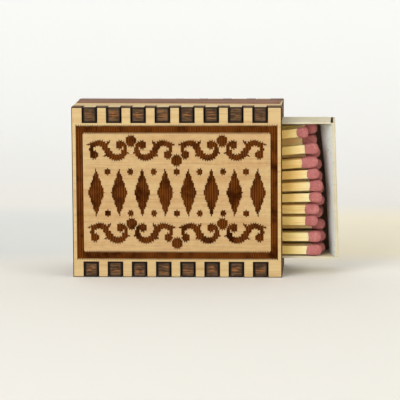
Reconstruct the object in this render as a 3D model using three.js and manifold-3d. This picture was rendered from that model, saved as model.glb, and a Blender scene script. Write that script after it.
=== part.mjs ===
// Matchbox with a plywood sleeve, standing on its narrow side with the card tray slid part way out.
// Millimetres, +Z up. The origin is the middle of the sleeve's underside.
// X runs along the box, the engraved front faces -Y, and the tray slides along +X.

import * as THREE from 'three';
import { mergeVertices } from 'three/addons/utils/BufferGeometryUtils.js';
import Module from 'manifold-3d';

// Sleeve
const SLEEVE_LENGTH = 55;
const PANEL_HEIGHT = 45;
const PLY = 4;
const SIDE_WIDTH = 14; // clear depth between the two panels
const TAB_COUNT = 8;
const FIRST_FINGER = 2.9; // at the left end, before the first notch
const LAST_FINGER = 3.7; // at the right end, after the last notch
const NOTCH_WIDTH = 3.75;
const JOINT_CLEARANCE = 0.2; // each side of a tab
const TAB_SETBACK = 0.12; // a tab's end stops just short of the panel's face

// Striker strip
const STRIKER_END_MARGIN = 0.5; // bare wood left at each end
const STRIKER_WIDTH = 9.5;
const STRIKER_THICKNESS = 0.35;
const STRIKER_OFFSET = 3; // behind the middle of the side
const STRIKER_SKEW = 2.6; // degrees

// Engraving on the front panel
const ENGRAVING_DEPTH = 0.25;
const FRAME_SIDE_MARGIN = 0.9;
const FRAME_END_MARGIN = 4.9; // top and bottom, clear of the joints
const FRAME_BAND = 1.85;
const SCROLL_MARGIN = 1.1; // from the frame to the outermost leaf
const HIGH_DOT_DROP = 2.15; // from the frame's inner edge to a high dot's centre
const LOW_DOT_DROP = 5.1; // from a high dot to a low dot
const DOT_RADIUS = 1.45;
const BULB_RADIUS = 1.08;
const SCROLL_ROW_GAP = 21.9; // between the two rows of high dots
const LOZENGE_COUNT = 8;
const LOZENGE_HEIGHT = 12.6;
const LOZENGE_WIDTH = 4.3;
const LOZENGE_MARGIN = 1.4; // from the frame to the first lozenge
const BEAD_RADIUS = 0.8;

// Card tray
const TRAY_LENGTH = 52;
const TRAY_OUT = 14.3; // how far the tray stands out of the sleeve
const TRAY_CLEARANCE_HEIGHT = 0.4; // above and below the tray
const TRAY_CLEARANCE_DEPTH = 0.5; // before and behind the tray
const CARD = 0.5;
const FOLD_WIDTH = 2; // across the folded rim of an end wall
const FLAP_SPRING = 0.8; // how far the inner flap leans in at its bottom corner
const FLAP_TWIST = 1.9; // how much further it leans in at its top corner
const FLAP_STOP = 1.2; // the flap's free edge stays this far off the floor
const TRAY_RACK = 0.95; // sideways lean of the card from top to bottom

// Matches
const MATCH_PLAY = 4.4; // what the tray's inside is longer than a match
const STICK = 2.2;
const HEAD_LENGTH = 3.6;
const HEAD_WIDTH = 3;
const HEAD_ROUNDING = 0.9;
const HEAD_CAP = 1; // coating beyond the end of the stick
const SOCKET_CLEARANCE = 0.03;
const LAYER_GAP = 0.45;
const NEIGHBOUR_GAP = 0.1; // least room a head takes besides its own width
const RIM_ROOM = 0.05; // between the front heads and the tray's rim
const TIP_ROOM = 0.5; // between the furthest head and the end wall
const ROLL_STEP = 1.3; // degrees

// Each match of a layer, from the lowest up: how much of the spare height lies
// below it, as a share, how far its tip lies behind the furthest tip, and its slope
// in degrees. The heads are thicker than the sticks, so a stack fans out toward its tips.
const FRONT_LAYER = [
  [0.01, 1.0, 0], [0.12, 1.1, 0], [0.36, 1.9, 0], [0.385, 1.4, 0.5], [0.41, 0.6, 1.3],
  [0.435, 0.3, 2.2], [0.465, 1.1, 3.1], [0.5, 1.4, 4.1], [0.61, 1.2, 5.2], [0.84, 3.7, 5.2],
];
const MIDDLE_LAYER = [
  [0.05, 0.2, 0], [0.13, 0.0, 0], [0.22, 0.0, 0.2], [0.31, 0.6, 0.5], [0.41, 0.0, 1], [0.51, 0.1, 1.5],
  [0.6, 0.4, 2], [0.69, 0.5, 2.6], [0.78, 0.8, 3.2], [0.88, 1.6, 3.2], [0.98, 1.4, 3.2],
];
const REAR_LAYER = [
  [0.04, 0.7, 0], [0.13, 0.3, 0], [0.22, 1.3, 0.3], [0.31, 0.4, 0.6], [0.41, 0.9, 0.9], [0.5, 0.5, 1.3],
  [0.59, 1.5, 1.7], [0.68, 1, 2.1], [0.78, 1.2, 2.5], [0.88, 1.6, 2.5], [0.98, 1.8, 2.5],
];

// Sizes that follow from the ones above
const DEPTH = SIDE_WIDTH + 2 * PLY;
const TAB_PITCH = (SLEEVE_LENGTH - FIRST_FINGER - LAST_FINGER - NOTCH_WIDTH) / (TAB_COUNT - 1);
const STRIKER_LENGTH = SLEEVE_LENGTH - 2 * STRIKER_END_MARGIN;
const CAVITY_HEIGHT = PANEL_HEIGHT - 2 * PLY;
const TRAY_HEIGHT = CAVITY_HEIGHT - 2 * TRAY_CLEARANCE_HEIGHT;
const TRAY_DEPTH = SIDE_WIDTH - 2 * TRAY_CLEARANCE_DEPTH;
const TRAY_X = SLEEVE_LENGTH / 2 + TRAY_OUT - TRAY_LENGTH / 2;
const TRAY_Z = PANEL_HEIGHT / 2;
const FRAME_HALF_LENGTH = SLEEVE_LENGTH / 2 - FRAME_SIDE_MARGIN;
const FRAME_HALF_HEIGHT = PANEL_HEIGHT / 2 - FRAME_END_MARGIN;
const FRAME_INNER_LENGTH = FRAME_HALF_LENGTH - FRAME_BAND;
const TOP_ROW = FRAME_HALF_HEIGHT - FRAME_BAND - HIGH_DOT_DROP;
const TRAY_INNER_HEIGHT = TRAY_HEIGHT - 2 * CARD;
const TRAY_INNER_HALF_LENGTH = TRAY_LENGTH / 2 - FOLD_WIDTH - FLAP_SPRING;
const MATCH_LENGTH = 2 * TRAY_INNER_HALF_LENGTH - MATCH_PLAY;

const wasm = await Module();
wasm.setup();

// Materials
function plywood() {
  return new THREE.MeshStandardMaterial({ color: 0xdab97d, roughness: 0.7, metalness: 0 });
}

function strikerPaper() {
  return new THREE.MeshStandardMaterial({ color: 0x92705a, roughness: 0.95, metalness: 0 });
}

function card() {
  return new THREE.MeshStandardMaterial({ color: 0xd8d4bf, roughness: 0.85, metalness: 0 });
}

function matchWood() {
  return new THREE.MeshStandardMaterial({ color: 0xe9d79a, roughness: 0.75, metalness: 0 });
}

function matchHead() {
  return new THREE.MeshStandardMaterial({ color: 0xc07a72, roughness: 0.9, metalness: 0 });
}

// Solids
function toSolid(geometry) {
  const bare = geometry.clone();
  bare.deleteAttribute('normal');
  bare.deleteAttribute('uv');
  const merged = mergeVertices(bare, 1e-4);
  return new wasm.Manifold(new wasm.Mesh({
    numProp: 3,
    vertProperties: merged.attributes.position.array,
    triVerts: merged.index.array,
  }));
}

function toGeometry(solid) {
  const mesh = solid.getMesh();
  const geometry = new THREE.BufferGeometry();
  geometry.setAttribute('position', new THREE.BufferAttribute(mesh.vertProperties, 3));
  geometry.setIndex(new THREE.BufferAttribute(mesh.triVerts, 1));
  const faceted = geometry.toNonIndexed();
  faceted.computeVertexNormals();
  return faceted;
}

function joinAll(geometries) {
  return geometries.map(toSolid).reduce((joined, solid) => joined.add(solid));
}

function mesh(name, geometry, material) {
  const piece = new THREE.Mesh(geometry, material);
  piece.name = name;
  return piece;
}

// An outline in X and Z given thickness along Y, from its front face back.
function upright(shape, front, thickness, curveSegments = 10) {
  const geometry = new THREE.ExtrudeGeometry(shape, { depth: thickness, bevelEnabled: false, curveSegments });
  geometry.rotateX(Math.PI / 2);
  geometry.translate(0, front + thickness, 0);
  return geometry;
}

// An outline in X and Y raised along Z from a level.
function raised(shape, level, height, curveSegments = 6, steps = 1) {
  const settings = { depth: height, bevelEnabled: false, curveSegments, steps };
  const geometry = new THREE.ExtrudeGeometry(shape, settings);
  geometry.translate(0, 0, level);
  return geometry;
}

function outline(points) {
  return new THREE.Shape(points.map(([x, y]) => new THREE.Vector2(x, y)));
}

// Finger joints: the left edge of each notch along the sleeve
function notchStarts() {
  const starts = [];
  for (let i = 0; i < TAB_COUNT; i += 1) {
    starts.push(-SLEEVE_LENGTH / 2 + FIRST_FINGER + i * TAB_PITCH);
  }
  return starts;
}

// A panel's outline with a row of notches in its bottom and its top edge
function panelShape() {
  const half = SLEEVE_LENGTH / 2;
  const points = [[-half, 0]];
  for (const start of notchStarts()) {
    points.push([start, 0], [start, PLY], [start + NOTCH_WIDTH, PLY], [start + NOTCH_WIDTH, 0]);
  }
  points.push([half, 0], [half, PANEL_HEIGHT]);
  for (const start of notchStarts().reverse()) {
    points.push([start + NOTCH_WIDTH, PANEL_HEIGHT], [start + NOTCH_WIDTH, PANEL_HEIGHT - PLY]);
    points.push([start, PANEL_HEIGHT - PLY], [start, PANEL_HEIGHT]);
  }
  points.push([-half, PANEL_HEIGHT]);
  return outline(points);
}

// A side's outline seen from above, with tabs toward the front and the back
function sideShape() {
  const half = SLEEVE_LENGTH / 2;
  const edge = SIDE_WIDTH / 2;
  const reach = DEPTH / 2 - TAB_SETBACK;
  const tabs = notchStarts().map((start) => [start + JOINT_CLEARANCE, start + NOTCH_WIDTH - JOINT_CLEARANCE]);
  const points = [[-half, -edge]];
  for (const [left, right] of tabs) {
    points.push([left, -edge], [left, -reach], [right, -reach], [right, -edge]);
  }
  points.push([half, -edge], [half, edge]);
  for (const [left, right] of tabs.reverse()) {
    points.push([right, edge], [right, reach], [left, reach], [left, edge]);
  }
  points.push([-half, edge]);
  return outline(points);
}

// Engraved frame
function frameShape() {
  const shape = outline([
    [-FRAME_HALF_LENGTH, -FRAME_HALF_HEIGHT], [FRAME_HALF_LENGTH, -FRAME_HALF_HEIGHT],
    [FRAME_HALF_LENGTH, FRAME_HALF_HEIGHT], [-FRAME_HALF_LENGTH, FRAME_HALF_HEIGHT],
  ]);
  const innerHeight = FRAME_HALF_HEIGHT - FRAME_BAND;
  shape.holes.push(new THREE.Path([
    new THREE.Vector2(-FRAME_INNER_LENGTH, -innerHeight), new THREE.Vector2(-FRAME_INNER_LENGTH, innerHeight),
    new THREE.Vector2(FRAME_INNER_LENGTH, innerHeight), new THREE.Vector2(FRAME_INNER_LENGTH, -innerHeight),
  ]));
  return shape;
}

function discShape(x, y, radius) {
  const shape = new THREE.Shape();
  shape.absarc(x, y, radius, 0, 2 * Math.PI, false);
  return shape;
}

// A brush stroke along a smooth centre line, with its half width given as a function of the way along
function strokeShape(centreLine, halfWidth, steps) {
  const curve = new THREE.SplineCurve(centreLine.map(([x, y]) => new THREE.Vector2(x, y)));
  const left = [];
  const right = [];
  for (let i = 0; i <= steps; i += 1) {
    const t = i / steps;
    const point = curve.getPointAt(t);
    const along = curve.getTangentAt(t);
    const across = new THREE.Vector2(-along.y, along.x).multiplyScalar(halfWidth(t));
    left.push(point.clone().add(across));
    right.unshift(point.clone().sub(across));
  }
  return new THREE.Shape([...right, ...left]);
}

// One S-shaped scroll to the left of its mirror line, measured from the high dot on that line
const SCROLL_LINE = [
  [-9.75, -3.45], [-10.45, -2.3], [-9.9, -1.05], [-8.36, -0.5], [-7.1, -1.1], [-6.2, -2.6],
  [-5.1, -3.9], [-3.6, -4.35], [-2.2, -3.75], [-1.5, -2.1], [-1.95, -0.75], [-2.9, -0.8],
];
const SCROLL_BULBS = [[-9.7, -3.6], [-2.92, -1]];
const SCROLL_LEAVES = [
  [[-9.7, -0.9], [-11.7, -0.95]], [[-6.75, -1.5], [-5.4, 0.25]],
  [[-5.6, -3.1], [-7.3, -4.1]], [[-1.9, -2.7], [-0.45, -3.3]],
];
const LEAF_HALF_WIDTH = 0.7;
const STROKE_THIN = 0.42;
const STROKE_SWELL = 0.38;
const DRAWN_SPAN = 11.94; // from the mirror line to the next low dot, as drawn
const DRAWN_REACH = 11.7; // from the mirror line to the outermost leaf's tip, as drawn

// Two mirror lines and the scrolls outside them fill the frame's inside, less a margin
const SCROLL_SCALE = (FRAME_INNER_LENGTH - SCROLL_MARGIN) / (DRAWN_SPAN + DRAWN_REACH);

function leafShape([base, tip]) {
  const along = new THREE.Vector2(tip[0] - base[0], tip[1] - base[1]).normalize();
  const across = new THREE.Vector2(-along.y, along.x).multiplyScalar(LEAF_HALF_WIDTH);
  return outline([
    [base[0] - across.x, base[1] - across.y], tip, [base[0] + across.x, base[1] + across.y],
  ]);
}

function scrollShapes() {
  const swelling = (t) => STROKE_THIN + STROKE_SWELL * Math.sin(Math.PI * t);
  return [
    strokeShape(SCROLL_LINE, swelling, 22),
    ...SCROLL_BULBS.map(([x, y]) => discShape(x, y, BULB_RADIUS)),
    ...SCROLL_LEAVES.map(leafShape),
  ];
}

// Cutters start in front of the panel and end at the engraving's floor
function cutter(shape, segments) {
  return upright(shape, -DEPTH / 2 - ENGRAVING_DEPTH, 2 * ENGRAVING_DEPTH, segments);
}

// Four scrolls and three dots make a row; the two rows are alike
function scrollRow(level) {
  const pieces = [];
  for (const side of [-1, 1]) {
    const mirrorLine = side * DRAWN_SPAN * SCROLL_SCALE;
    for (const shape of scrollShapes()) {
      const solid = toSolid(cutter(shape, 4)).scale([SCROLL_SCALE, 1, SCROLL_SCALE]);
      pieces.push(solid.translate([mirrorLine, 0, level]));
      pieces.push(solid.mirror([1, 0, 0]).translate([mirrorLine, 0, level]));
    }
    pieces.push(toSolid(cutter(discShape(mirrorLine, level, DOT_RADIUS), 8)));
  }
  pieces.push(toSolid(cutter(discShape(0, level - LOW_DOT_DROP * SCROLL_SCALE, DOT_RADIUS), 8)));
  return pieces;
}

// A row of tall lozenges with a bead above and below each gap between them
function lozengeRow(level) {
  const pieces = [];
  const pitch = 2 * (FRAME_INNER_LENGTH - LOZENGE_MARGIN - LOZENGE_WIDTH / 2) / (LOZENGE_COUNT - 1);
  for (let i = 0; i < LOZENGE_COUNT; i += 1) {
    const x = (i - (LOZENGE_COUNT - 1) / 2) * pitch;
    pieces.push(toSolid(cutter(outline([
      [x - LOZENGE_WIDTH / 2, level], [x, level - LOZENGE_HEIGHT / 2],
      [x + LOZENGE_WIDTH / 2, level], [x, level + LOZENGE_HEIGHT / 2],
    ]))));
    if (i === 0) continue;
    for (const side of [-1, 1]) {
      const beadLevel = level + side * (LOZENGE_HEIGHT / 2 - BEAD_RADIUS);
      pieces.push(toSolid(cutter(discShape(x - pitch / 2, beadLevel, BEAD_RADIUS), 5)));
    }
  }
  return pieces;
}

function frontPanel() {
  const middle = PANEL_HEIGHT / 2;
  const engraving = [
    toSolid(cutter(frameShape())).translate([0, 0, middle]),
    ...scrollRow(middle + TOP_ROW),
    ...scrollRow(middle + TOP_ROW - SCROLL_ROW_GAP),
    ...lozengeRow(middle),
  ].reduce((joined, solid) => joined.add(solid));
  const panel = toSolid(upright(panelShape(), -DEPTH / 2, PLY));
  return mesh('front_panel', toGeometry(panel.subtract(engraving)), plywood());
}

function backPanel() {
  return mesh('back_panel', upright(panelShape(), SIDE_WIDTH / 2, PLY), plywood());
}

function bottomSide() {
  return mesh('bottom_side', raised(sideShape(), 0, PLY), plywood());
}

function topSide() {
  return mesh('top_side', raised(sideShape(), PANEL_HEIGHT - PLY, PLY), plywood());
}

// The striker strip is glued along the top side, a little askew
function strikerStrip() {
  const geometry = new THREE.BoxGeometry(STRIKER_LENGTH, STRIKER_WIDTH, STRIKER_THICKNESS);
  geometry.translate(0, 0, STRIKER_THICKNESS / 2);
  const strip = mesh('striker_strip', geometry, strikerPaper());
  strip.rotation.z = THREE.MathUtils.degToRad(-STRIKER_SKEW);
  strip.position.set(0, STRIKER_OFFSET, PANEL_HEIGHT);
  return strip;
}

// Section of the right end wall, seen from above: the outer card turns over a round rim
// at the front and comes back as a flap that leans in.
function endWallShape() {
  const end = TRAY_LENGTH / 2;
  const back = TRAY_DEPTH / 2;
  const outerRadius = FOLD_WIDTH / 2;
  const innerRadius = outerRadius - CARD;
  const rimX = end - outerRadius;
  const rimY = -back + outerRadius;
  const flapEnd = back - CARD - FLAP_STOP;
  const shape = new THREE.Shape();
  shape.moveTo(end, back);
  shape.lineTo(end - CARD, back);
  shape.lineTo(end - CARD, rimY);
  shape.absarc(rimX, rimY, innerRadius, 0, -Math.PI, true);
  shape.lineTo(end - FOLD_WIDTH + CARD - FLAP_SPRING, flapEnd);
  shape.lineTo(end - FOLD_WIDTH - FLAP_SPRING, flapEnd);
  shape.lineTo(end - FOLD_WIDTH, rimY);
  shape.absarc(rimX, rimY, outerRadius, -Math.PI, 0, false);
  return shape;
}

function plate(length, depth, height, x, y, z) {
  return new THREE.BoxGeometry(length, depth, height).translate(x, y, z);
}

// The card leans sideways as one piece, its bottom further out than its top
function rack(geometry) {
  const position = geometry.attributes.position;
  for (let i = 0; i < position.count; i += 1) {
    position.setX(i, position.getX(i) - TRAY_RACK * (position.getZ(i) / TRAY_HEIGHT));
  }
  return geometry;
}

// Turns the inner flap about its rim, so that its top corner stands further in
function twistFlap(geometry) {
  const position = geometry.attributes.position;
  const rimY = (FOLD_WIDTH - TRAY_DEPTH) / 2;
  const flapEnd = TRAY_DEPTH / 2 - CARD - FLAP_STOP;
  for (let i = 0; i < position.count; i += 1) {
    const reach = (position.getY(i) - rimY) / (flapEnd - rimY);
    const rise = position.getZ(i) / TRAY_HEIGHT + 0.5;
    const onFlap = reach > 0 && position.getX(i) < TRAY_LENGTH / 2 - FOLD_WIDTH + CARD + 0.01;
    if (onFlap) position.setX(i, position.getX(i) - FLAP_TWIST * reach * rise);
  }
  return geometry;
}

function cardTray() {
  const wallLength = TRAY_LENGTH - 2 * FOLD_WIDTH;
  const wallLevel = (TRAY_HEIGHT - CARD) / 2;
  const endWall = toSolid(twistFlap(raised(endWallShape(), -TRAY_HEIGHT / 2, TRAY_HEIGHT, 5, 2)));
  const folded = joinAll([
    plate(TRAY_LENGTH, CARD, TRAY_HEIGHT, 0, (TRAY_DEPTH - CARD) / 2, 0),
    plate(wallLength, TRAY_DEPTH, CARD, 0, 0, wallLevel),
    plate(wallLength, TRAY_DEPTH, CARD, 0, 0, -wallLevel),
  ]).add(endWall).add(endWall.mirror([1, 0, 0]));
  return mesh('tray', rack(toGeometry(folded)), card());
}

// A match lies along X with its tip at the origin
function headGeometry(curveSegments, bevelSegments) {
  const half = HEAD_WIDTH / 2 - HEAD_ROUNDING;
  const shape = new THREE.Shape();
  shape.absarc(half, half, HEAD_ROUNDING, 0, Math.PI / 2, false);
  shape.absarc(-half, half, HEAD_ROUNDING, Math.PI / 2, Math.PI, false);
  shape.absarc(-half, -half, HEAD_ROUNDING, Math.PI, 1.5 * Math.PI, false);
  shape.absarc(half, -half, HEAD_ROUNDING, 1.5 * Math.PI, 2 * Math.PI, false);
  const geometry = new THREE.ExtrudeGeometry(shape, {
    depth: HEAD_LENGTH - 2 * HEAD_CAP,
    bevelThickness: HEAD_CAP,
    bevelSize: HEAD_ROUNDING * 0.8,
    bevelOffset: -HEAD_ROUNDING * 0.8,
    bevelSegments,
    curveSegments,
  });
  geometry.rotateY(Math.PI / 2);
  geometry.translate(HEAD_CAP - HEAD_LENGTH, 0, 0);
  return geometry;
}

function stickGeometry(clearance = 0) {
  const length = MATCH_LENGTH - HEAD_CAP;
  const width = STICK + 2 * clearance;
  const stick = new THREE.BoxGeometry(length, width, width);
  stick.translate(-HEAD_CAP - length / 2 + clearance, 0, 0);
  return stick;
}

function socketedHead() {
  return toGeometry(toSolid(headGeometry(2, 2)).subtract(toSolid(stickGeometry(SOCKET_CLEARANCE))));
}

function wholeMatch() {
  return toGeometry(toSolid(headGeometry(1, 1)).add(toSolid(stickGeometry())));
}

// Where a match lies: its head touches down on the ones below with the spare height shared out
function matchPlace(layer, depthIndex, index) {
  const [share, slip] = layer[index];
  const spare = TRAY_INNER_HEIGHT - layer.length * HEAD_WIDTH;
  const height = -TRAY_INNER_HEIGHT / 2 + HEAD_WIDTH * (index + 0.5) + spare * share;
  const furthest = TRAY_INNER_HALF_LENGTH - TIP_ROOM;
  const lean = -TRAY_RACK * (height / TRAY_HEIGHT);
  const front = -TRAY_DEPTH / 2 + RIM_ROOM + HEAD_WIDTH / 2;
  return new THREE.Vector3(furthest + lean - slip, front + depthIndex * (HEAD_WIDTH + LAYER_GAP), height);
}

function roll(index, depthIndex) {
  return THREE.MathUtils.degToRad(ROLL_STEP * (((index * 5 + depthIndex * 2) % 7) - 3));
}

function layerOfMatches(fullLayer, depthIndex, build) {
  const group = new THREE.Group();
  const layer = fullLayer.slice(0, Math.floor(TRAY_INNER_HEIGHT / (HEAD_WIDTH + NEIGHBOUR_GAP)));
  layer.forEach((_, index) => {
    const match = new THREE.Group();
    match.position.copy(matchPlace(layer, depthIndex, index));
    match.rotation.x = roll(index, depthIndex);
    match.rotation.y = -THREE.MathUtils.degToRad(layer[index][2]);
    match.add(...build(index + 1));
    group.add(match);
  });
  return group;
}

function splitMatch(prefix) {
  return (number) => [
    mesh(`${prefix}_stick_${number}`, stickGeometry(), matchWood()),
    mesh(`${prefix}_head_${number}`, socketedHead(), matchHead()),
  ];
}

function trayWithMatches() {
  const group = new THREE.Group();
  group.position.set(TRAY_X, 0, TRAY_Z);
  group.add(
    cardTray(),
    layerOfMatches(FRONT_LAYER, 0, splitMatch('front')),
    layerOfMatches(MIDDLE_LAYER, 1, splitMatch('middle')),
    layerOfMatches(REAR_LAYER, 2, (number) => [mesh(`rear_match_${number}`, wholeMatch(), matchWood())]),
  );
  return group;
}

const matchbox = new THREE.Group();
matchbox.add(frontPanel(), backPanel(), bottomSide(), topSide(), strikerStrip(), trayWithMatches());

export default matchbox;
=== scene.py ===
# %% [markdown]
# A matchbox: a plywood sleeve with a burnt ornament, and a card tray of pink-headed matches
# slid part way out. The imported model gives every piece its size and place. Here each piece
# gets its real surface: saw and laser marks, folded card, and the soft shape of a dipped head.

# %% Load the model
import math
import random

import bmesh
import bpy
import numpy as np
from mathutils import Matrix, Vector, noise


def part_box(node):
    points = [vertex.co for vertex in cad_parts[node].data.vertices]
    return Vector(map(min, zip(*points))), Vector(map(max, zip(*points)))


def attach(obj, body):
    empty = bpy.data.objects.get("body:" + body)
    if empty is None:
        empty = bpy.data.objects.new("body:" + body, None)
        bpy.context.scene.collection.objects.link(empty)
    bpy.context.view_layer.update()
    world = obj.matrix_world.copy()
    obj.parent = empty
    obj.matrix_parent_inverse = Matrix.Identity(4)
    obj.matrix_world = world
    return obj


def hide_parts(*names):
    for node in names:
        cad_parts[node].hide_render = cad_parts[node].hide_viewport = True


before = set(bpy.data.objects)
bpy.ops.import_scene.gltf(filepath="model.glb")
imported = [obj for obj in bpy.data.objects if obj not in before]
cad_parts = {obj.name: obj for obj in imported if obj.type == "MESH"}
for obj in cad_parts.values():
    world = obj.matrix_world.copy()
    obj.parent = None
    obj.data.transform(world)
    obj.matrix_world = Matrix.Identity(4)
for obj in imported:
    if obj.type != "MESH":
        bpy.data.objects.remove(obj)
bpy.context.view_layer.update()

MM = 0.001

# %% [markdown]
# The sizes that the pieces share are read from the model's nodes, so that nothing is placed
# by eye. The fingers and tabs are found from the corners of the top side's outline.

# %% Read the sizes
front_low, front_high = (Vector(corner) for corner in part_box("front_panel"))
back_low, back_high = (Vector(corner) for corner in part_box("back_panel"))
top_low, top_high = (Vector(corner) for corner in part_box("top_side"))
bottom_low, bottom_high = (Vector(corner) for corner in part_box("bottom_side"))
strip_low, strip_high = (Vector(corner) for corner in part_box("striker_strip"))
tray_low, tray_high = (Vector(corner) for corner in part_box("tray"))
PLY = front_high.y - front_low.y
HALF_LENGTH = front_high.x
PANEL_HEIGHT = front_high.z
FACE = front_low.y


def corners_in_model(node):
    return [vertex.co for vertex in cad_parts[node].data.vertices]


front_corners = [corner for corner in corners_in_model("top_side") if corner.y < top_low.y + 0.1 * MM]
tab_corners = sorted({round(corner.x, 5) for corner in front_corners})
tabs = list(zip(tab_corners[0::2], tab_corners[1::2]))
JOINT_CLEARANCE = 0.2 * MM
print("tabs on each edge", len(tabs), "plywood", round(PLY / MM, 2), "mm")

# %% [markdown]
# Small helpers keep the later cells short. Each one is a step that is done by hand in Blender:
# clear the selection, apply a placement, select edges by a test, or apply a modifier.

# %% Helpers for modelling
def clear_selection():
    if bpy.context.object and bpy.context.object.mode != "OBJECT":
        bpy.ops.object.mode_set(mode="OBJECT")
    bpy.ops.object.select_all(action="DESELECT")


def make_active(piece):
    clear_selection()
    piece.select_set(True)
    bpy.context.view_layer.objects.active = piece


def settle(piece):
    make_active(piece)
    bpy.ops.object.transform_apply(location=True, rotation=True, scale=True)


def block(name, low, high):
    clear_selection()
    low = Vector(low)
    high = Vector(high)
    bpy.ops.mesh.primitive_cube_add(size=1, location=(low + high) / 2)
    piece = bpy.context.object
    piece.name = name
    piece.scale = high - low
    settle(piece)
    return piece


def apply_modifier(piece, kind, **settings):
    make_active(piece)
    modifier = piece.modifiers.new(kind.title(), kind)
    for key, value in settings.items():
        setattr(modifier, key, value)
    bpy.ops.object.modifier_apply(modifier=modifier.name)


def join(pieces, name):
    clear_selection()
    for piece in pieces:
        piece.select_set(True)
    bpy.context.view_layer.objects.active = pieces[0]
    bpy.ops.object.join()
    joined = bpy.context.object
    joined.name = name
    return joined


def select_edges(piece, wanted):
    bpy.ops.mesh.select_mode(type="EDGE")
    bpy.ops.mesh.select_all(action="DESELECT")
    mesh = bmesh.from_edit_mesh(piece.data)
    for edge in mesh.edges:
        if all(wanted(vertex.co) for vertex in edge.verts):
            edge.select_set(True)
    bmesh.update_edit_mesh(piece.data)


def triangles(piece):
    return sum(len(polygon.vertices) - 2 for polygon in piece.data.polygons)


# %% [markdown]
# The helpers for shading are steps of the node editor: add a node and connect it, do a sum,
# mix two colours by a mask, or start and finish a material. Colours are written from 0 to
# 255 as a screen shows them, because that is how they are read beside the photograph.

# %% Helpers for shading
def add_node(tree, kind, inputs=None, **settings):
    node = tree.nodes.new(kind)
    for key, value in settings.items():
        setattr(node, key, value)
    for key, value in (inputs or {}).items():
        if isinstance(value, bpy.types.NodeSocket):
            tree.links.new(value, node.inputs[key])
        else:
            node.inputs[key].default_value = value
    return node


def arithmetic(tree, operation, *numbers):
    """One sum with sockets or plain numbers."""
    return add_node(tree, "ShaderNodeMath", dict(enumerate(numbers)), operation=operation).outputs[0]


def multiply(tree, first, second):
    return arithmetic(tree, "MULTIPLY", first, second)


def distance(tree, value, centre):
    """How far a value is from a centre, to either side."""
    return arithmetic(tree, "ABSOLUTE", arithmetic(tree, "SUBTRACT", value, centre))


def position(tree):
    """The X, Y and Z of a point, in the piece's own coordinates."""
    place = add_node(tree, "ShaderNodeTexCoord").outputs["Object"]
    return add_node(tree, "ShaderNodeSeparateXYZ", {0: place}).outputs


def mask(tree, value, low, high):
    """0 up to low and 1 from high, or the other way round where low is the greater."""
    return add_node(tree, "ShaderNodeMapRange", {0: value, 1: low, 2: high}).outputs[0]


def mix_colour(tree, factor, first, second, blend="MIX"):
    values = {0: factor, 6: first, 7: second}
    return add_node(tree, "ShaderNodeMix", values, data_type="RGBA", blend_type=blend).outputs[2]


def lay_over(tree, base, pattern, low, high, colour):
    """A second colour over the base, where the pattern passes from low to high."""
    return mix_colour(tree, mask(tree, pattern, low, high), base, colour)


def paint(red, green, blue):
    """A screen colour from 0 to 255, as the linear colour that a shader takes."""
    def linear(value):
        value = value / 255
        return value / 12.92 if value <= 0.04045 else ((value + 0.055) / 1.055) ** 2.4
    return (linear(red), linear(green), linear(blue), 1.0)


def new_material(name, roughness, specular=0.3):
    material = bpy.data.materials.new(name)
    material.use_nodes = True
    shader = material.node_tree.nodes["Principled BSDF"]
    shader.inputs["Roughness"].default_value = roughness
    shader.inputs["Specular IOR Level"].default_value = specular
    return material, material.node_tree


def finish_material(material, base, relief, strength, depth):
    """Connect the colour and a small bump to the shader, and say what was made."""
    tree = material.node_tree
    shader = tree.nodes["Principled BSDF"]
    tree.links.new(base, shader.inputs["Base Color"])
    bump = add_node(tree, "ShaderNodeBump", {"Height": relief, "Strength": strength, "Distance": depth})
    tree.links.new(bump.outputs[0], shader.inputs["Normal"])
    print("material", material.name, "with", len(tree.nodes), "nodes")
    return material


# %% [markdown]
# Every natural surface here needs the same two effects: streaks along a grain and soft
# blotches. Each is a shader node group, built once and given its own values in each
# material, as a maker mixes one stain and uses it on many boards.

# %% The streaks and blotches groups
def new_group(name, **values):
    """A group that takes these values, each with its default, and gives one value."""
    tree = bpy.data.node_groups.new(name, "ShaderNodeTree")
    for label, default in values.items():
        kind = "NodeSocketFloat" if isinstance(default, float) else "NodeSocketVector"
        tree.interface.new_socket(label, in_out="INPUT", socket_type=kind).default_value = default
    tree.interface.new_socket("Value", in_out="OUTPUT", socket_type="NodeSocketFloat")
    return tree, tree.nodes.new("NodeGroupInput").outputs, tree.nodes.new("NodeGroupOutput").inputs


def build_streaks():
    tree, given, result = new_group("streaks_along_grain", Stretch=(60, 900, 900), Roughness=0.6)
    place = add_node(tree, "ShaderNodeTexCoord").outputs["Object"]
    scaled = add_node(tree, "ShaderNodeVectorMath", {0: place, 1: given["Stretch"]}, operation="MULTIPLY")
    lines = add_node(tree, "ShaderNodeTexNoise", {
        "Vector": scaled.outputs[0], "Scale": 1.0, "Detail": 5.0,
        "Roughness": given["Roughness"], "Distortion": 0.3,
    })
    tree.links.new(lines.outputs[0], result["Value"])
    return tree


def build_blotches():
    tree, given, result = new_group("blotches", Scale=200.0, Detail=3.0)
    place = add_node(tree, "ShaderNodeTexCoord").outputs["Object"]
    spots = add_node(tree, "ShaderNodeTexNoise", {
        "Vector": place, "Scale": given["Scale"], "Detail": given["Detail"], "Roughness": 0.55,
    })
    tree.links.new(spots.outputs[0], result["Value"])
    return tree


STREAKS = build_streaks()
BLOTCHES = build_blotches()


def streaks(tree, stretch, roughness):
    values = {"Stretch": stretch, "Roughness": roughness}
    return add_node(tree, "ShaderNodeGroup", values, node_tree=STREAKS).outputs["Value"]


def blotches(tree, scale, detail):
    values = {"Scale": scale, "Detail": detail}
    return add_node(tree, "ShaderNodeGroup", values, node_tree=BLOTCHES).outputs["Value"]


print("groups", STREAKS.name, "and", BLOTCHES.name)

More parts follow.
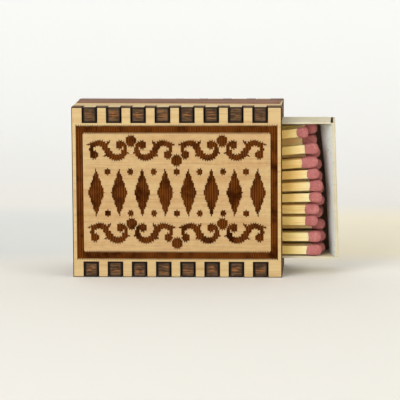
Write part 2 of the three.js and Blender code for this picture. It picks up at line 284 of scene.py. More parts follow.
# %% [markdown]
# Bare birch plywood: a pale, warm face with fine streaks along the box and faint pink and
# honey patches. The streaks also drive a very small bump, so that raking light finds the grain.
# Smoke from the laser leaves a faint uneven tan on the part between the two rows of tabs.

# %% Plywood face
SMOKE_HALF_HEIGHT = 17.2 * MM
SMOKE_HALF_LENGTH = 25.2 * MM
SMOKE_FADE = 0.4 * MM


def smoked_zone(tree):
    """1 on the middle of the front panel, with a soft border, and 0 elsewhere."""
    x, y, z = position(tree)
    inside = mask(tree, y, 0.0, -1.0 * MM)
    for value, centre, limit in ((z, PANEL_HEIGHT / 2, SMOKE_HALF_HEIGHT), (x, 0.0, SMOKE_HALF_LENGTH)):
        within = mask(tree, distance(tree, value, centre), limit + SMOKE_FADE, limit - SMOKE_FADE)
        inside = multiply(tree, inside, within)
    return inside


def plywood_face():
    material, tree = new_material("birch_plywood_face", 0.62)
    fine = streaks(tree, (90, 2600, 2600), 0.65)
    broad = streaks(tree, (35, 420, 420), 0.5)
    base = lay_over(tree, paint(216, 184, 132), blotches(tree, 75, 2), 0.38, 0.62, paint(218, 191, 136))
    base = lay_over(tree, base, broad, 0.45, 0.7, paint(207, 171, 116))
    base = lay_over(tree, base, fine, 0.52, 0.76, paint(187, 148, 95))
    haze = lay_over(tree, paint(240, 230, 226), blotches(tree, 900, 4), 0.4, 0.6, paint(248, 241, 238))
    smoked = mix_colour(tree, 1.0, base, haze, blend="MULTIPLY")
    base = mix_colour(tree, smoked_zone(tree), base, smoked)
    return finish_material(material, base, fine, 0.35, 0.05 * MM)


WOOD = plywood_face()

# %% [markdown]
# Where the laser cuts right through, the edge chars nearly black and the glued layers show
# as bands across its thickness. The core layer keeps an orange glow. The bands follow the
# board's thickness, which is Y on the panels and Z on the sides. The core is found by its
# distance from the middle of the sleeve, so that both boards of a pair share one material.
# The end of each tab is painted darkest along its own outline, as painted shade of the gap
# around it, and glows only in a small patch. Near both faces of each board the char is
# painted near-black as well, which is painted shade too.

# %% Charred cut edge
# Near-black for painted shade, near the faces of each cut and around each tab's end.
PAINTED_SHADE_BLACK = paint(34, 25, 18)
CORE_REACH = 1.2 * MM
RIM_START, RIM_END = 1.4 * MM, 1.85 * MM
OUTLINE_WIDTH = 0.55 * MM
TENTH = 0.1 * MM


def distance_to_tab(tree, x, first_middle, pitch):
    """How far a point is from the middle of the nearest tab in the row."""
    pitches = multiply(tree, arithmetic(tree, "SUBTRACT", x, first_middle - pitch / 2), 1 / pitch)
    return multiply(tree, distance(tree, arithmetic(tree, "FRACT", pitches), 0.5), pitch)


def tab_outline(tree, x, from_tab, half_width):
    """Where painted shade goes: 1 along the sides of each tab, and 0 at the ends of the board."""
    outline = mask(tree, from_tab, half_width - OUTLINE_WIDTH, half_width - TENTH)
    before_gap = mask(tree, from_tab, half_width + TENTH, half_width + TENTH / 2)
    inboard = mask(tree, distance(tree, x, 0.0), HALF_LENGTH - TENTH, HALF_LENGTH - 2 * TENTH)
    return multiply(tree, multiply(tree, outline, before_gap), inboard)


def charred_edge(name, layers_along, sleeve_middle, board_offset, tab_row=None):
    material, tree = new_material(name, 0.8, 0.2)
    stretch = [420, 420, 420]
    stretch[layers_along] = 3200
    bands = streaks(tree, tuple(stretch), 0.55)
    place = position(tree)
    off_core = distance(tree, distance(tree, place[layers_along], sleeve_middle), board_offset)
    glow = multiply(tree, mask(tree, off_core, CORE_REACH, TENTH), mask(tree, bands, 0.5, 0.6))
    if tab_row:
        first_middle, pitch, half_width = tab_row
        from_tab = distance_to_tab(tree, place[0], first_middle, pitch)
        glow = multiply(tree, glow, mask(tree, from_tab, half_width * 0.85, half_width * 0.2))
    base = lay_over(tree, paint(68, 48, 30), bands, 0.4, 0.62, paint(120, 91, 62))
    base = mix_colour(tree, glow, base, paint(176, 102, 44))
    base = lay_over(tree, base, blotches(tree, 420, 4), 0.52, 0.7, paint(54, 38, 26))
    # Painted shade: the char turns near-black toward both faces of the board.
    base = lay_over(tree, base, off_core, RIM_START, RIM_END, PAINTED_SHADE_BLACK)
    if tab_row:
        # Painted shade: near-black along the outline of each tab's end, beside the gap around it.
        base = mix_colour(tree, tab_outline(tree, place[0], from_tab, half_width), base, PAINTED_SHADE_BLACK)
    return finish_material(material, base, bands, 0.6, 0.12 * MM)


PANEL_EDGE = charred_edge("charred_panel_edge", 1, 0.0, back_high.y - PLY / 2)
TAB_PITCH = (tabs[-1][0] - tabs[0][0]) / (len(tabs) - 1)
TAB_ROW = (sum(tabs[0]) / 2, TAB_PITCH, (tabs[0][1] - tabs[0][0]) / 2)
SIDE_EDGE = charred_edge("charred_side_edge", 2, PANEL_HEIGHT / 2, (PANEL_HEIGHT - PLY) / 2, TAB_ROW)

# %% [markdown]
# The engraving is burnt line by line, up and down, 0.31 mm apart. Its floor is chestnut
# brown. A thin ridge between each pair of lines stays paler, and the beam leaves darker
# clouds. Burnt wood has no shine at all.

# %% Engraved floor
LINE_PITCH = 0.313


def burnt_floor():
    material, tree = new_material("burnt_engraving", 0.95, 0.0)
    lines = streaks(tree, (2400, 2400, 140), 0.5)
    pairs = multiply(tree, position(tree)[0], 1 / (2 * LINE_PITCH * MM))
    ridge = distance(tree, arithmetic(tree, "FRACT", pairs), 0.5)
    base = lay_over(tree, paint(74, 35, 9), lines, 0.36, 0.66, paint(98, 50, 17))
    base = lay_over(tree, base, ridge, 0.2, 0.5, paint(120, 68, 24))
    base = lay_over(tree, base, blotches(tree, 260, 4), 0.46, 0.68, paint(54, 23, 5))
    return finish_material(material, base, lines, 0.5, 0.08 * MM)


BURNT = burnt_floor()

# %% [markdown]
# The striker is a strip of coarse brown paper with fine grit in its coat.

# %% Striker paper
def striker_paper():
    material, tree = new_material("striker_coat", 0.92, 0.2)
    grit = blotches(tree, 3200, 2)
    smear = streaks(tree, (60, 300, 300), 0.5)
    base = lay_over(tree, paint(150, 112, 92), smear, 0.4, 0.65, paint(132, 98, 78))
    base = lay_over(tree, base, grit, 0.55, 0.75, paint(96, 66, 56))
    return finish_material(material, base, grit, 0.7, 0.08 * MM)


STRIKER = striker_paper()

# %% [markdown]
# The tray's card is grey-white pulp board: a matt surface with short fibres and a faint
# yellow cast. The inside of the floor is painted dark brown, as painted shade inside the tray.
# The inner flap is painted a paler, bluish white, as painted light falling on it, and the
# top of the fold at each upper corner is painted dark, as painted shade of the slit there.

# %% Tray card
def tray_card(name, light, dark):
    material, tree = new_material(name, 0.78)
    fibre = streaks(tree, (500, 500, 1400), 0.7)
    base = lay_over(tree, light, blotches(tree, 160, 3), 0.35, 0.7, dark)
    base = lay_over(tree, base, fibre, 0.56, 0.78, paint(188, 178, 150))
    return finish_material(material, base, fibre, 0.3, 0.05 * MM)


CARD = tray_card("grey_white_card", paint(222, 213, 184), paint(208, 197, 164))
# Painted shade: a dark brown for the inside of the floor, where the tray is in shade.
CARD_INSIDE = tray_card("painted_shade_card_inside", paint(150, 122, 94), paint(122, 96, 70))
# Painted light: a paler, bluish white for the flaps' inner faces, where cool light falls.
CARD_FLAP = tray_card("painted_light_card_flap", paint(241, 251, 244), paint(231, 242, 232))
# Painted shade: dark card for the top of each end fold, where the slit at the corner is dark.
CARD_CORNER_SHADE = tray_card("painted_shade_card_corner", paint(58, 44, 28), paint(44, 33, 22))

# %% [markdown]
# A match splint is pale aspen with long straight grain. Its colour is painted a darker
# honey away from the head, as painted shade toward the sleeve, and paler beside the head,
# as painted light. Light passes a little way through such thin wood, so the gaps between
# splints glow golden. The head is a chalky, dusty pink coat: it has no shine, tiny pits,
# and slightly different reds where it is thicker.

# %% Match wood and match head
def match_wood():
    material, tree = new_material("aspen_splint", 0.6)
    grain = streaks(tree, (70, 2100, 2100), 0.6)
    patches = blotches(tree, 130, 2)
    # Painted shade and light: a darker honey away from the heads, toward the sleeve, and paler near the
    # heads.
    toward_head = mask(tree, position(tree)[0], tray_high.x - 13 * MM, tray_high.x - 7 * MM)
    pale = lay_over(tree, paint(254, 240, 192), patches, 0.4, 0.65, paint(250, 226, 166))
    honey = lay_over(tree, paint(250, 216, 132), patches, 0.4, 0.65, paint(240, 198, 110))
    base = mix_colour(tree, toward_head, honey, pale)
    base = lay_over(tree, base, grain, 0.55, 0.8, paint(226, 184, 102))
    shader = tree.nodes["Principled BSDF"]
    shader.inputs["Subsurface Weight"].default_value = 0.35
    shader.inputs["Subsurface Radius"].default_value = (1.0, 0.5, 0.15)
    shader.inputs["Subsurface Scale"].default_value = 0.9 * MM
    return finish_material(material, base, grain, 0.4, 0.05 * MM)


def match_head():
    material, tree = new_material("pink_match_coat", 0.88, 0.2)
    pits = blotches(tree, 2600, 3)
    base = lay_over(tree, paint(195, 122, 117), blotches(tree, 420, 2), 0.35, 0.65, paint(178, 104, 101))
    base = lay_over(tree, base, pits, 0.55, 0.75, paint(214, 156, 143))
    return finish_material(material, base, pits, 0.5, 0.06 * MM)


SPLINT = match_wood()
COAT = match_head()

# %% [markdown]
# The plain boards are cut as on a bench: a blank, and a cutter block for each place that
# the laser removes. Afterwards the sharp outline is eased by a tenth of a millimetre, and
# each face takes the face finish or the charred finish by the way that it points.

# %% Cut the back panel and the two sides
def ease_edges(piece):
    apply_modifier(piece, "BEVEL", width=0.1 * MM, segments=1, limit_method="ANGLE",
                   angle_limit=math.radians(60))


def cut_board(name, low, high, cutters):
    board = block(name, low, high)
    tool = join([block("cutter", *corners) for corners in cutters], "cutters")
    apply_modifier(board, "BOOLEAN", operation="DIFFERENCE", solver="EXACT", object=tool)
    bpy.data.objects.remove(tool, do_unlink=True)
    ease_edges(board)
    return board


def finish_board(board, thickness_axis, edge, body, node):
    board.data.materials.clear()
    board.data.materials.append(WOOD)
    board.data.materials.append(edge)
    for polygon in board.data.polygons:
        polygon.material_index = 0 if abs(polygon.normal[thickness_axis]) > 0.9 else 1
    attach(board, body)
    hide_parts(node)
    print(board.name, triangles(board), "triangles")


def notch_cutters(low, high):
    """Blocks that clear each notch of a panel, a little wider than the tab that it takes."""
    cutters = []
    for left, right in tabs:
        for bottom, top in ((-PLY, PLY), (PANEL_HEIGHT - PLY, PANEL_HEIGHT + PLY)):
            cutters.append((
                (left - JOINT_CLEARANCE, low.y - PLY, bottom),
                (right + JOINT_CLEARANCE, high.y + PLY, top),
            ))
    return cutters


def gap_cutters(low, high):
    """Blocks that clear the wood between the tabs of a side, at its front and its back."""
    edges = [low.x - PLY] + [x for tab in tabs for x in tab] + [high.x + PLY]
    cutters = []
    for left, right in zip(edges[0::2], edges[1::2]):
        cutters.append(((left, low.y - PLY, low.z - PLY), (right, front_high.y, high.z + PLY)))
        cutters.append(((left, back_low.y, low.z - PLY), (right, high.y + PLY, high.z + PLY)))
    return cutters


back_board = cut_board("back_board", back_low, back_high, notch_cutters(back_low, back_high))
finish_board(back_board, 1, PANEL_EDGE, "sleeve", "back_panel")
for name, node, low, high in (("top_board", "top_side", top_low, top_high),
                              ("bottom_board", "bottom_side", bottom_low, bottom_high)):
    board = cut_board(name, low, high, gap_cutters(low, high))
    finish_board(board, 2, SIDE_EDGE, "sleeve", node)

# %% [markdown]
# The ornament is drawn once as simple shapes: a frame, brush strokes that swell in the
# middle, round bulbs, pointed leaves, dots, and a band of lozenges. A test says whether a
# point is inside any of them. Sizes here are in millimetres from the middle of the panel.

# %% Draw the ornament
FRAME_HALF_LENGTH = 26.6
FRAME_HALF_HEIGHT = 17.6
FRAME_BAND = 1.85
UPRIGHT_EXTRA = 0.25
SCROLL_MARGIN = 1.1
HIGH_DOT_DROP = 2.15
LOW_DOT_DROP = 5.1
DOT_RADIUS = 1.45
BULB_RADIUS = 1.08
SCROLL_ROW_GAP = 21.9
LOZENGE_COUNT = 8
LOZENGE_HEIGHT = 12.6
LOZENGE_WIDTH = 4.3
LOZENGE_MARGIN = 1.4
BEAD_RADIUS = 0.8
DRAWN_SPAN = 11.94
DRAWN_REACH = 11.7
FRAME_INNER_LENGTH = FRAME_HALF_LENGTH - FRAME_BAND
SCROLL_SCALE = (FRAME_INNER_LENGTH - SCROLL_MARGIN) / (DRAWN_SPAN + DRAWN_REACH)
SCROLL_LINE = [
    (-9.75, -3.45), (-10.45, -2.3), (-9.9, -1.05), (-8.36, -0.5), (-7.1, -1.1), (-6.2, -2.6),
    (-5.1, -3.9), (-3.6, -4.35), (-2.2, -3.75), (-1.5, -2.1), (-1.95, -0.75), (-2.9, -0.8),
]
SCROLL_BULBS = [(-9.7, -3.6), (-2.92, -1.0)]
SCROLL_LEAVES = [
    ((-9.7, -0.9), (-11.7, -0.95)), ((-6.75, -1.5), (-5.4, 0.25)),
    ((-5.6, -3.1), (-7.3, -4.1)), ((-1.9, -2.7), (-0.45, -3.3)),
]
LEAF_HALF_WIDTH = 0.7
LEAF_STEPS = 8
STROKE_RADIUS = 0.42
STROKE_SWELL = 0.38


def smooth_line(points, steps):
    """Points along a smooth curve through the drawn ones."""
    ends = [points[0]] + list(points) + [points[-1]]
    line = []
    for i in range(len(points) - 1):
        a, b, c, d = (np.array(point) for point in ends[i:i + 4])
        for step in range(steps):
            t = step / steps
            line.append(0.5 * (2 * b + (c - a) * t + (2 * a - 5 * b + 4 * c - d) * t ** 2
                               + (3 * b - a - 3 * c + d) * t ** 3))
    line.append(np.array(points[-1]))
    return line


def scroll_discs():
    """One scroll as discs: the stroke, its bulbs, and leaves that narrow to a point."""
    line = smooth_line(SCROLL_LINE, 6)
    discs = []
    for i, (x, y) in enumerate(line):
        discs.append((x, y, STROKE_RADIUS + STROKE_SWELL * math.sin(math.pi * i / (len(line) - 1))))
    discs += [(x, y, BULB_RADIUS) for x, y in SCROLL_BULBS]
    for (base_x, base_y), (tip_x, tip_y) in SCROLL_LEAVES:
        for step in range(LEAF_STEPS + 1):
            t = step / LEAF_STEPS
            radius = LEAF_HALF_WIDTH * (1 - t) * 0.85 + 0.08
            discs.append((base_x + (tip_x - base_x) * t, base_y + (tip_y - base_y) * t, radius))
    return discs


def ornament_discs():
    discs = []
    row = FRAME_HALF_HEIGHT - FRAME_BAND - HIGH_DOT_DROP
    for level in (row, row - SCROLL_ROW_GAP):
        for side in (-1, 1):
            centre = side * DRAWN_SPAN * SCROLL_SCALE
            for mirror in (1, -1):
                discs += [(centre + mirror * x * SCROLL_SCALE, level + y * SCROLL_SCALE, r * SCROLL_SCALE)
                          for x, y, r in scroll_discs()]
            discs.append((centre, level, DOT_RADIUS))
        discs.append((0, level - LOW_DOT_DROP * SCROLL_SCALE, DOT_RADIUS))
    pitch = 2 * (FRAME_INNER_LENGTH - LOZENGE_MARGIN - LOZENGE_WIDTH / 2) / (LOZENGE_COUNT - 1)
    for i in range(1, LOZENGE_COUNT):
        x = (i - LOZENGE_COUNT / 2) * pitch
        discs += [(x, side * (LOZENGE_HEIGHT / 2 - BEAD_RADIUS), BEAD_RADIUS) for side in (-1, 1)]
    lozenges = [(i - (LOZENGE_COUNT - 1) / 2) * pitch for i in range(LOZENGE_COUNT)]
    return np.array(discs), lozenges


DISCS, LOZENGES = ornament_discs()


def is_burnt(x, levels):
    """Which of the heights on one upright line are inside the ornament."""
    near = DISCS[np.abs(DISCS[:, 0] - x) < DISCS[:, 2]]
    inside = np.zeros(len(levels), bool)
    for disc_x, disc_y, radius in near:
        inside |= np.abs(levels - disc_y) < math.sqrt(radius ** 2 - (x - disc_x) ** 2)
    for centre in LOZENGES:
        reach = LOZENGE_HEIGHT / 2 * (1 - abs(x - centre) / (LOZENGE_WIDTH / 2))
        inside |= np.abs(levels) < reach
    if abs(x) < FRAME_HALF_LENGTH:
        inside |= (np.abs(levels) < FRAME_HALF_HEIGHT) & (np.abs(levels) > FRAME_HALF_HEIGHT - FRAME_BAND)
        if abs(x) > FRAME_INNER_LENGTH - UPRIGHT_EXTRA:
            inside |= np.abs(levels) < FRAME_HALF_HEIGHT
    return inside


print("ornament drawn with", len(DISCS), "discs and", len(LOZENGES), "lozenges")

# %% [markdown]
# A laser engraver scans the panel in upright lines 0.31 mm apart, one up and the next down,
# and each second line overshoots a little. Each burn starts and stops with the round end of
# the beam, so the level edges of the ornament look like a comb. The panel's face is therefore
# drawn line by line: each line is split where its burns start and end, every end gets a
# rounded tooth, and neighbours share the points between them. Sizes are in millimetres.

# %% Engrave the front panel's face
TOOTH = 0.12
TOOTH_STEPS = 4
OVERSHOOT = 0.28
OVERSHOOT_SHARE = 0.14
UNDERSHOOT = 0.06
UNEVENNESS = 0.04
SHORTEST_BURN = 0.25
SEARCH_STEP = 0.02
SEARCH_PAST = 0.2
MARGIN = 0.35
ENGRAVING_DEPTH = 0.25 * MM
zone_lines = int((FRAME_HALF_LENGTH * 2) / LINE_PITCH) + 2
zone_left = -zone_lines * LINE_PITCH / 2
zone_half_height = FRAME_HALF_HEIGHT + OVERSHOOT + TOOTH + MARGIN


def burns_on_line(index):
    """The start and end height of each burn on one line, with a little unevenness."""
    x = zone_left + (index + 0.5) * LINE_PITCH
    levels = np.arange(-FRAME_HALF_HEIGHT - SEARCH_PAST, FRAME_HALF_HEIGHT + SEARCH_PAST, SEARCH_STEP)
    inside = is_burnt(x, levels)
    changes = np.flatnonzero(inside[1:] != inside[:-1])
    heights = [float(levels[change]) for change in changes]
    burns = [[start, end] for start, end in zip(heights[0::2], heights[1::2]) if end - start > SHORTEST_BURN]
    for before, after in zip(burns, burns[1:]):
        if after[0] - before[1] < 2 * (TOOTH + OVERSHOOT) + 0.1:
            middle = (before[1] + after[0]) / 2
            before[1] = min(before[1], middle - TOOTH * 0.6 - OVERSHOOT)
            after[0] = max(after[0], middle + TOOTH * 0.6 + OVERSHOOT)
    jitter = random.Random(index)
    uneven = []
    for start, end in burns:
        reach = min(OVERSHOOT, (end - start) * OVERSHOOT_SHARE) if index % 2 else -UNDERSHOOT
        start -= reach + jitter.uniform(-UNEVENNESS, UNEVENNESS)
        end += reach + jitter.uniform(-UNEVENNESS, UNEVENNESS)
        if end - start > TOOTH:
            uneven.append((start, end))
    return uneven


def tooth_profile(height, outward):
    """Points of one burn's end, from the line's left to its right, as (share across, height)."""
    points = []
    for step in range(TOOTH_STEPS + 1):
        across = -1 + 2 * step / TOOTH_STEPS
        bulge = TOOTH * (1 - abs(across) ** 1.4) - TOOTH * 0.4
        points.append(((across + 1) / 2, height + outward * bulge))
    return points


def engraved_face():
    """Vertices and faces of the scanned zone, and which faces are burnt."""
    ends = []
    borders = [set() for _ in range(zone_lines + 1)]
    for index in range(zone_lines):
        profiles = []
        for start, end in burns_on_line(index):
            profiles += [tooth_profile(start, -1), tooth_profile(end, 1)]
        for profile in profiles:
            borders[index].add(profile[0][1])
            borders[index + 1].add(profile[-1][1])
        ends.append(profiles)
    vertices = {}
    faces = []
    burnt = []

    def corner(x, level):
        key = (round(x, 4), round(level, 4))
        return vertices.setdefault(key, len(vertices))

    floor = [(0, -zone_half_height), (1, -zone_half_height)]
    ceiling = [(0, zone_half_height), (1, zone_half_height)]
    for index, profiles in enumerate(ends):
        left = zone_left + index * LINE_PITCH
        right = left + LINE_PITCH
        rails = [floor] + profiles + [ceiling]
        for number, (low, high) in enumerate(zip(rails, rails[1:])):
            loop = [(left + share * LINE_PITCH, level) for share, level in low]
            loop += [(right, level) for level in sorted(borders[index + 1])
                     if low[-1][1] < level < high[-1][1]]
            loop += [(left + share * LINE_PITCH, level) for share, level in reversed(high)]
            loop += [(left, level) for level in sorted(borders[index], reverse=True)
                     if low[0][1] < level < high[0][1]]
            faces.append(list(dict.fromkeys(corner(x, level) for x, level in loop)))
            burnt.append(number % 2 == 1)
    return list(vertices), faces, burnt


points, faces, burnt = engraved_face()
print("engraved face:", len(points), "points,", len(faces), "faces,", sum(burnt), "burns")

# %% [markdown]
# The rest of the panel is its outline around that zone. The outline and the zone's rim are
# filled as one flat ring. The laser singes the arris where it enters, so a thin dark slope
# follows the whole outline. The outer edge is extruded back by the plywood's thickness, and
# the burnt faces are pushed in by the depth of the engraving.

# %% Build the front panel around the engraving
MIDDLE = PANEL_HEIGHT / 2
ARRIS = 0.2 * MM
ARRIS_DEPTH = 0.1 * MM
WOOD_SLOT, EDGE_SLOT, BURNT_SLOT = 0, 1, 2


def panel_outline(inset=0.0):
    """The panel's outline with its notches, or a copy of it drawn further in."""
    room = JOINT_CLEARANCE + inset
    depth = PLY + inset
    lower = [(inset - HALF_LENGTH, inset)]
    for left, right in tabs:
        lower += [(left - room, inset), (left - room, depth), (right + room, depth), (right + room, inset)]
    lower.append((HALF_LENGTH - inset, inset))
    return lower + [(x, PANEL_HEIGHT - z) for x, z in reversed(lower)]


def rim_edges(mesh):
    """The edges that have a face on one side only."""
    return [edge for edge in mesh.edges if len(edge.link_faces) == 1]


def build_front_board():
    mesh = bmesh.new()
    zone = [mesh.verts.new((x * MM, FACE, MIDDLE + level * MM)) for x, level in points]
    for corners, is_burn in zip(faces, burnt):
        face = mesh.faces.new([zone[index] for index in corners])
        face.material_index = BURNT_SLOT if is_burn else WOOD_SLOT
    rim = rim_edges(mesh)
    inner = [mesh.verts.new((x, FACE, z)) for x, z in panel_outline(ARRIS)]
    outline = [mesh.verts.new((x, FACE + ARRIS_DEPTH, z)) for x, z in panel_outline()]
    outer = [mesh.edges.new((inner[i], inner[i - 1])) for i in range(len(inner))]
    bmesh.ops.triangle_fill(mesh, use_beauty=True, edges=rim + outer, normal=(0, -1, 0))
    for i in range(len(inner)):
        singed = mesh.faces.new((inner[i], inner[i - 1], outline[i - 1], outline[i]))
        singed.material_index = EDGE_SLOT
    bmesh.ops.recalc_face_normals(mesh, faces=mesh.faces)
    if sum(face.normal.y * face.calc_area() for face in mesh.faces) > 0:
        bmesh.ops.reverse_faces(mesh, faces=mesh.faces)
    walls = bmesh.ops.extrude_edge_only(mesh, edges=rim_edges(mesh))
    rear = [item for item in walls["geom"] if isinstance(item, bmesh.types.BMVert)]
    bmesh.ops.translate(mesh, verts=rear, vec=(0, PLY - ARRIS_DEPTH, 0))
    rear_set = set(rear)
    for face in mesh.faces:
        if any(vertex in rear_set for vertex in face.verts):
            face.material_index = EDGE_SLOT
    bmesh.ops.triangle_fill(mesh, use_beauty=True, edges=rim_edges(mesh), normal=(0, 1, 0))
    bmesh.ops.recalc_face_normals(mesh, faces=mesh.faces)
    data = bpy.data.meshes.new("front_board")
    mesh.to_mesh(data)
    mesh.free()
    board = bpy.data.objects.new("front_board", data)
    bpy.context.collection.objects.link(board)
    for material in (WOOD, PANEL_EDGE, BURNT):
        data.materials.append(material)
    return board


def sink_burns(board):
    make_active(board)
    bpy.ops.object.mode_set(mode="EDIT")
    bpy.ops.mesh.select_mode(type="FACE")
    bpy.ops.mesh.select_all(action="DESELECT")
    mesh = bmesh.from_edit_mesh(board.data)
    for face in mesh.faces:
        face.select_set(face.material_index == BURNT_SLOT)
    bmesh.update_edit_mesh(board.data)
    bpy.ops.mesh.extrude_region_move(TRANSFORM_OT_translate={"value": (0, ENGRAVING_DEPTH, 0)})
    bpy.ops.object.mode_set(mode="OBJECT")


front_board = build_front_board()
sink_burns(front_board)
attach(front_board, "sleeve")
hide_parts("front_panel")
check = bmesh.new()
check.from_mesh(front_board.data)
loose = sum(1 for edge in check.edges if len(edge.link_faces) != 2)
print("front board:", triangles(front_board), "triangles,", loose, "edges without two faces")
check.free()

# %% [markdown]
# The striker strip was cut by hand and glued a little askew. It is a thin block on the
# model's own strip, cut into short lengths so that its long edges can wander slightly.

# %% Striker strip
STRIKER_TRIM = 0.2 * MM
EDGE_WANDER = 0.09 * MM
PAPER_WAVE = 0.02 * MM


def corners_of(node):
    """The strip's own four lower corners, in order around it."""
    corners = corners_in_model(node)
    level = min(corner.z for corner in corners)
    found = {(round(corner.x, 6), round(corner.y, 6)) for corner in corners if corner.z < level + 0.01 * MM}
    middle_x = sum(x for x, _ in found) / len(found)
    middle_y = sum(y for _, y in found) / len(found)
    return sorted(found, key=lambda corner: math.atan2(corner[1] - middle_y, corner[0] - middle_x))


def build_striker():
    near_left, near_right, far_right, far_left = (Vector((x, y, 0)) for x, y in corners_of("striker_strip"))
    length = (near_right - near_left).length
    width = (far_left - near_left).length
    centre = (near_left + far_right) / 2
    turn = math.atan2((near_right - near_left).y, (near_right - near_left).x)
    thickness = strip_high.z - strip_low.z
    clear_selection()
    bpy.ops.mesh.primitive_grid_add(x_subdivisions=60, y_subdivisions=8, size=1)
    strip = bpy.context.object
    strip.name = "striker_paper"
    strip.scale = (length - STRIKER_TRIM, width - STRIKER_TRIM, 1)
    settle(strip)
    for vertex in strip.data.vertices:
        edge = abs(vertex.co.y) / (width / 2)
        wander = noise.noise(Vector((vertex.co.x * 260, math.copysign(3, vertex.co.y), 0)))
        vertex.co.y += math.copysign(1, vertex.co.y) * edge ** 6 * wander * EDGE_WANDER
        vertex.co.z = noise.noise(vertex.co * 300) * PAPER_WAVE
    strip.rotation_euler.z = turn
    strip.location = (centre.x, centre.y, strip_low.z + thickness * 0.8)
    settle(strip)
    apply_modifier(strip, "SOLIDIFY", thickness=thickness * 0.75, offset=-1)
    strip.data.materials.append(STRIKER)
    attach(strip, "sleeve")
    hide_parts("striker_strip")
    return strip


striker = build_striker()
print("striker:", triangles(striker), "triangles")

# %% [markdown]
# The tray is one sheet of card, folded. It starts as the floor: a grid with a line of
# points at each fold. The ends are pulled forward, turned over a tight rim and brought back
# as a loose inner flap that springs inward, most at its top corner. The long walls are
# pulled forward only and stop short of the ends, which leaves a slit at each corner. The
# fold's upper end is painted dark there, as painted shade of the slit, and use has flared
# the wall beside it. Then the sheet gets its thickness, and the tray leans a little, as a
# handled card tray does.

# %% Fold the card tray
CARD_THICKNESS = 0.5 * MM
FOLD_WIDTH = 0.9 * MM
FLAP_STOP = 4.6 * MM
FLAP_SPRING = 1.7 * MM
FLAP_TWIST = 1.6 * MM
CORNER_FLARE = 0.35 * MM
FLARE_START = 0.8
WALL_END = 1.14 * MM
RIM_STEPS = 8
WALL_STEPS = 6
TRAY_LEAN = 0.95 * MM
WALL_BOW = 0.12 * MM
CARD_RIPPLE = 0.05 * MM
NEAR = 0.01 * MM
INSIDE_SLOT, FLAP_SLOT, CORNER_SHADE_SLOT = 1, 2, 3
half = CARD_THICKNESS / 2
tray_middle_x = (tray_low.x + tray_high.x) / 2
tray_middle_z = (tray_low.z + tray_high.z) / 2
tray_half_length = (tray_high.x - tray_low.x - TRAY_LEAN) / 2 - half
tray_half_height = (tray_high.z - tray_low.z) / 2 - half
floor_y = tray_high.y - half
rim_y = tray_low.y + half
wall_end_x = tray_half_length - WALL_END + half


def pull(direction, steps=1):
    for _ in range(steps):
        bpy.ops.mesh.extrude_edges_move(TRANSFORM_OT_translate={"value": Vector(direction) / steps})


def pull_round(curve, angle, steps):
    """Pull the selected edges along a curve from 0 to the angle, in short steps."""
    for step in range(steps):
        pull(curve(angle * (step + 1) / steps) - curve(angle * step / steps))


def fold_end(tray, side):
    select_edges(tray, lambda co: side * co.x > tray_half_length - NEAR and co.y > floor_y - NEAR)
    radius = FOLD_WIDTH / 2 - half
    straight = floor_y - rim_y - radius
    pull((0, -straight, 0), WALL_STEPS)
    pull_round(lambda turn: radius * Vector((side * math.cos(turn), -math.sin(turn), 0)), math.pi, RIM_STEPS)
    pull((0, straight - FLAP_STOP, 0), WALL_STEPS)


def fold_long_wall(tray, side):
    select_edges(tray, lambda co: side * co.z > tray_half_height - NEAR
                 and abs(co.x) < wall_end_x + NEAR and co.y > floor_y - NEAR)
    pull((0, rim_y - half - floor_y, 0), WALL_STEPS)


def build_tray():
    clear_selection()
    bpy.ops.mesh.primitive_grid_add(x_subdivisions=26, y_subdivisions=18, size=2,
                                    rotation=(math.pi / 2, 0, 0))
    tray = bpy.context.object
    tray.name = "folded_card_tray"
    tray.scale = (tray_half_length, tray_half_height, 1)
    tray.location = (0, floor_y, 0)
    settle(tray)
    bpy.ops.object.mode_set(mode="EDIT")
    for side in (-1, 1):
        bpy.ops.mesh.select_all(action="SELECT")
        bpy.ops.mesh.bisect(plane_co=(side * wall_end_x, 0, 0), plane_no=(1, 0, 0))
    for side in (-1, 1):
        fold_end(tray, side)
        fold_long_wall(tray, side)
    bpy.ops.object.mode_set(mode="OBJECT")
    return tray


def shape_card(tray):
    """Small bends that handling leaves: flaps that spring in, walls that bow, and the lean."""
    for vertex in tray.data.vertices:
        co = vertex.co
        height = co.z / tray_half_height
        forward = (floor_y - co.y) / (floor_y - rim_y)
        flap_x = tray_half_length - FOLD_WIDTH + CARD_THICKNESS
        on_flap = abs(abs(co.x) - flap_x) < 0.02 * MM and 0.3 * MM < floor_y - co.y
        if on_flap and forward < 0.9:
            reach = (1 - forward) / (1 - FLAP_STOP / (floor_y - rim_y))
            spring = reach * (FLAP_SPRING + FLAP_TWIST * (height * 0.5 + 0.5) ** 2.2)
            co.x -= math.copysign(spring, co.x)
        if abs(height) > 0.99 and forward > 0.1 and abs(co.x) < flap_x - 0.2 * MM:
            bow = math.cos(math.pi / 2 * co.x / tray_half_length)
            co.z -= math.copysign(WALL_BOW, height) * forward * bow
        if abs(co.x) > tray_half_length - 0.15 * MM and height > FLARE_START:
            co.z += CORNER_FLARE * (height - FLARE_START) / (1 - FLARE_START) * max(0.0, forward)
        co.y += noise.noise(co * 70) * CARD_RIPPLE * (1 - forward)
        co.x += tray_middle_x - TRAY_LEAN * co.z / (2 * tray_half_height)
        co.z += tray_middle_z


